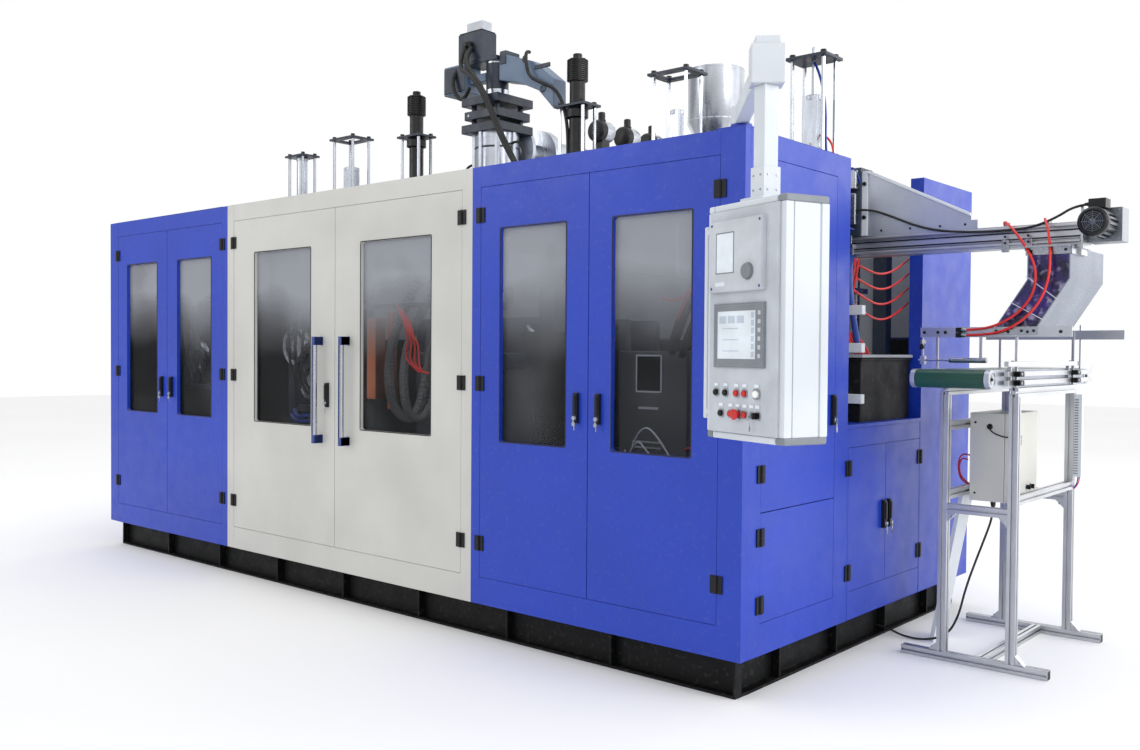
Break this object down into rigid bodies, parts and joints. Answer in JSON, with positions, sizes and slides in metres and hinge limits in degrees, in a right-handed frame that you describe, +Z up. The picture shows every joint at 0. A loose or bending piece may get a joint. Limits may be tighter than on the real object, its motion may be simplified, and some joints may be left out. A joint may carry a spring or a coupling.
{
  "type": "blow moulding machine",
  "caption": "Twin-station blow moulding machine in a doored enclosure on a skid, with extruder, pendant, take-off beam, chute and belt conveyor.",
  "frame": {"origin": "on the floor under the middle of the enclosure, in the sole of the middle cross beam", "axes": "+X along the machine towards the take-off conveyor, -Y towards the operator's doors, +Z up"},
  "size_m": [6.987, 6.271, 4.11],
  "materials": {
    "blue_paint": "satin powder coat",
    "white_paint": "satin powder coat",
    "black_paint": "satin",
    "machine_grey": "satin",
    "plated_steel": "polished",
    "bare_steel": "machined",
    "dark_steel": "satin",
    "aluminium_profile": "anodised",
    "motor_black": "satin",
    "green_belt": "smooth",
    "light_paint": "fine texture",
    "red_hose": "smooth",
    "black_rubber": "matt",
    "black_plastic": "matt",
    "red_plastic": "gloss",
    "white_plastic": "lit"
  },
  "bodies": {
    "machine": {"base_frame": "black_paint", "left_cover": "blue_paint", "centre_cover": "white_paint", "right_cover": "blue_paint", "end_cover": "blue_paint", "press_frame": "machine_grey", "pin_frames": "plated_steel", "pin_cylinders": "plated_steel", "die_head": "bare_steel", "head_arm": "machine_grey", "extruder": "dark_steel", "extruder_drive": "dark_steel", "hopper": "bare_steel", "takeoff_beam": "aluminium_profile", "takeoff_motor": "motor_black", "takeoff_chute": "bare_steel", "conveyor_stand": "aluminium_profile", "conveyor_frame": "aluminium_profile", "conveyor_belt": "green_belt", "stand_box": "light_paint", "scrap_chute": "light_paint", "air_hoses": "red_hose", "black_cables": "black_rubber"},
    "left_door_left_body": {"left_door_left": "blue_paint"},
    "left_door_right_body": {"left_door_right": "blue_paint"},
    "centre_door_left_body": {"centre_door_left": "white_paint"},
    "centre_door_right_body": {"centre_door_right": "white_paint"},
    "right_door_left_body": {"right_door_left": "blue_paint"},
    "right_door_right_body": {"right_door_right": "blue_paint"},
    "end_door_lower_body": {"end_door_lower": "blue_paint"},
    "end_door_upper_body": {"end_door_upper": "blue_paint"},
    "cabinet_door_left_body": {"cabinet_door_left": "blue_paint"},
    "cabinet_door_right_body": {"cabinet_door_right": "blue_paint"},
    "pendant_arm_body": {"pendant_arm": "light_paint"},
    "pendant_case_body": {"pendant_case": "light_paint"},
    "jog_dial_body": {"jog_dial": "black_plastic"},
    "black_button_1_body": {"black_button_1": "black_plastic"},
    "black_button_2_body": {"black_button_2": "black_plastic"},
    "red_button_1_body": {"red_button_1": "red_plastic"},
    "red_button_2_body": {"red_button_2": "red_plastic"},
    "white_button_body": {"white_button": "white_plastic"},
    "black_button_3_body": {"black_button_3": "black_plastic"},
    "red_button_3_body": {"red_button_3": "red_plastic"},
    "emergency_stop_body": {"emergency_stop": "red_plastic"},
    "red_button_4_body": {"red_button_4": "red_plastic"},
    "key_switch_body": {"key_switch": "plated_steel"},
    "mode_selector_body": {"mode_selector": "black_plastic"},
    "box_selector_1_body": {"box_selector_1": "black_plastic"},
    "box_selector_2_body": {"box_selector_2": "black_plastic"},
    "left_carriage_body": {"left_carriage": "machine_grey"},
    "right_carriage_body": {"right_carriage": "machine_grey"},
    "left_front_mould_body": {"left_front_mould": "bare_steel"},
    "left_back_mould_body": {"left_back_mould": "bare_steel"},
    "left_blow_pins_body": {"left_blow_pins": "plated_steel"},
    "right_front_mould_body": {"right_front_mould": "bare_steel"},
    "right_back_mould_body": {"right_back_mould": "bare_steel"},
    "right_blow_pins_body": {"right_blow_pins": "plated_steel"},
    "drive_roller_body": {"drive_roller": "bare_steel"},
    "nose_roller_body": {"nose_roller": "bare_steel"},
    "stopper_rod_body": {"stopper_rod": "plated_steel"}
  },
  "joints": [
    {"name": "left_door_left_swing", "type": "hinge", "parent": "machine", "child": "left_door_left_body", "pos_m": [-2.793, -1.328, 1.38], "axis": [0, 0, -1], "range_deg": [0, 90]},
    {"name": "left_door_right_swing", "type": "hinge", "parent": "machine", "child": "left_door_right_body", "pos_m": [-1.279, -1.328, 1.38], "axis": [0, 0, 1], "range_deg": [0, 90]},
    {"name": "centre_door_left_swing", "type": "hinge", "parent": "machine", "child": "centre_door_left_body", "pos_m": [-1.134, -1.328, 1.38], "axis": [0, 0, -1], "range_deg": [0, 90]},
    {"name": "centre_door_right_swing", "type": "hinge", "parent": "machine", "child": "centre_door_right_body", "pos_m": [1.134, -1.328, 1.38], "axis": [0, 0, 1], "range_deg": [0, 90]},
    {"name": "right_door_left_swing", "type": "hinge", "parent": "machine", "child": "right_door_left_body", "pos_m": [1.279, -1.328, 1.38], "axis": [0, 0, -1], "range_deg": [0, 90]},
    {"name": "right_door_right_swing", "type": "hinge", "parent": "machine", "child": "right_door_right_body", "pos_m": [2.793, -1.328, 1.38], "axis": [0, 0, 1], "range_deg": [0, 90]},
    {"name": "end_door_lower_swing", "type": "hinge", "parent": "machine", "child": "end_door_lower_body", "pos_m": [2.928, -1.165, 0.585], "axis": [0, 0, -1], "range_deg": [0, 90]},
    {"name": "end_door_upper_swing", "type": "hinge", "parent": "machine", "child": "end_door_upper_body", "pos_m": [2.928, -1.165, 1.63], "axis": [0, 0, -1], "range_deg": [0, 90]},
    {"name": "cabinet_door_left_swing", "type": "hinge", "parent": "machine", "child": "cabinet_door_left_body", "pos_m": [2.928, -0.308, 0.705], "axis": [0, 0, -1], "range_deg": [0, 90]},
    {"name": "cabinet_door_right_swing", "type": "hinge", "parent": "machine", "child": "cabinet_door_right_body", "pos_m": [2.928, 0.575, 0.705], "axis": [0, 0, 1], "range_deg": [0, 35]},
    {"name": "boom_swing", "type": "hinge", "parent": "machine", "child": "pendant_arm_body", "pos_m": [2.86, -1.26, 2.6], "axis": [0, 0, 1], "range_deg": [-65, 25]},
    {"name": "pendant_swivel", "type": "hinge", "parent": "pendant_arm_body", "child": "pendant_case_body", "pos_m": [3.407, -1.971, 2.2], "axis": [0, 0, 1], "range_deg": [-90, 90]},
    {"name": "jog_dial_turn", "type": "hinge", "parent": "pendant_case_body", "child": "jog_dial_body", "pos_m": [3.42371, -2.12215, 1.839], "axis": [-0.36, -0.933, 0], "continuous": true},
    {"name": "black_button_1_press", "type": "slide", "parent": "pendant_case_body", "child": "black_button_1_body", "axis": [0.36, 0.933, 0], "range_m": [0, 0.004], "stiffness_N_per_m": 600},
    {"name": "black_button_2_press", "type": "slide", "parent": "pendant_case_body", "child": "black_button_2_body", "axis": [0.36, 0.933, 0], "range_m": [0, 0.004], "stiffness_N_per_m": 600},
    {"name": "red_button_1_press", "type": "slide", "parent": "pendant_case_body", "child": "red_button_1_body", "axis": [0.36, 0.933, 0], "range_m": [0, 0.004], "stiffness_N_per_m": 600},
    {"name": "red_button_2_press", "type": "slide", "parent": "pendant_case_body", "child": "red_button_2_body", "axis": [0.36, 0.933, 0], "range_m": [0, 0.004], "stiffness_N_per_m": 600},
    {"name": "white_button_press", "type": "slide", "parent": "pendant_case_body", "child": "white_button_body", "axis": [0.36, 0.933, 0], "range_m": [0, 0.004], "stiffness_N_per_m": 600},
    {"name": "black_button_3_press", "type": "slide", "parent": "pendant_case_body", "child": "black_button_3_body", "axis": [0.36, 0.933, 0], "range_m": [0, 0.004], "stiffness_N_per_m": 600},
    {"name": "red_button_3_press", "type": "slide", "parent": "pendant_case_body", "child": "red_button_3_body", "axis": [0.36, 0.933, 0], "range_m": [0, 0.004], "stiffness_N_per_m": 600},
    {"name": "emergency_stop_press", "type": "slide", "parent": "pendant_case_body", "child": "emergency_stop_body", "axis": [0.36, 0.933, 0], "range_m": [0, 0.004], "stiffness_N_per_m": 600},
    {"name": "red_button_4_press", "type": "slide", "parent": "pendant_case_body", "child": "red_button_4_body", "axis": [0.36, 0.933, 0], "range_m": [0, 0.004], "stiffness_N_per_m": 600},
    {"name": "key_switch_turn", "type": "hinge", "parent": "pendant_case_body", "child": "key_switch_body", "pos_m": [3.4375, -2.11139, 1.335], "axis": [-0.36, -0.933, 0], "range_deg": [0, 90]},
    {"name": "mode_selector_turn", "type": "hinge", "parent": "pendant_case_body", "child": "mode_selector_body", "pos_m": [3.46829, -2.12327, 1.335], "axis": [-0.36, -0.933, 0], "range_deg": [-45, 45]},
    {"name": "box_selector_1_turn", "type": "hinge", "parent": "machine", "child": "box_selector_1_body", "pos_m": [3.5273, 0.56, 0.85], "axis": [1, 0, 0], "range_deg": [-45, 45]},
    {"name": "box_selector_2_turn", "type": "hinge", "parent": "machine", "child": "box_selector_2_body", "pos_m": [3.5273, 0.62, 0.85], "axis": [1, 0, 0], "range_deg": [-45, 45]},
    {"name": "left_carriage_shuttle", "type": "slide", "parent": "machine", "child": "left_carriage_body", "axis": [1, 0, 0], "range_m": [-0.8, 0]},
    {"name": "right_carriage_shuttle", "type": "slide", "parent": "machine", "child": "right_carriage_body", "axis": [1, 0, 0], "range_m": [-0.8, 0]},
    {"name": "left_front_mould_clamp", "type": "slide", "parent": "left_carriage_body", "child": "left_front_mould_body", "axis": [0, 1, 0], "range_m": [-0.2, 0]},
    {"name": "left_back_mould_clamp", "type": "slide", "parent": "left_carriage_body", "child": "left_back_mould_body", "axis": [0, 1, 0], "range_m": [0, 0.2]},
    {"name": "left_blow_pins_lift", "type": "slide", "parent": "machine", "child": "left_blow_pins_body", "axis": [0, 0, 1], "range_m": [-0.25, 0]},
    {"name": "right_front_mould_clamp", "type": "slide", "parent": "right_carriage_body", "child": "right_front_mould_body", "axis": [0, 1, 0], "range_m": [-0.2, 0]},
    {"name": "right_back_mould_clamp", "type": "slide", "parent": "right_carriage_body", "child": "right_back_mould_body", "axis": [0, 1, 0], "range_m": [0, 0.2]},
    {"name": "right_blow_pins_lift", "type": "slide", "parent": "machine", "child": "right_blow_pins_body", "axis": [0, 0, 1], "range_m": [-0.25, 0]},
    {"name": "drive_roller_spin", "type": "hinge", "parent": "machine", "child": "drive_roller_body", "pos_m": [3.4475, 1.18, 1.438], "axis": [1, 0, 0], "continuous": true},
    {"name": "nose_roller_spin", "type": "hinge", "parent": "machine", "child": "nose_roller_body", "pos_m": [3.4475, -0.32, 1.438], "axis": [1, 0, 0], "continuous": true},
    {"name": "stopper_rod_reach", "type": "slide", "parent": "machine", "child": "stopper_rod_body", "axis": [1, 0, 0], "range_m": [0, 0.08]}
  ],
  "couplings": [
    {"joint": "right_carriage_shuttle", "follows": "left_carriage_shuttle", "ratio": 1},
    {"joint": "left_back_mould_clamp", "follows": "left_front_mould_clamp", "ratio": -1},
    {"joint": "right_back_mould_clamp", "follows": "right_front_mould_clamp", "ratio": -1},
    {"joint": "nose_roller_spin", "follows": "drive_roller_spin", "ratio": 1}
  ]
}
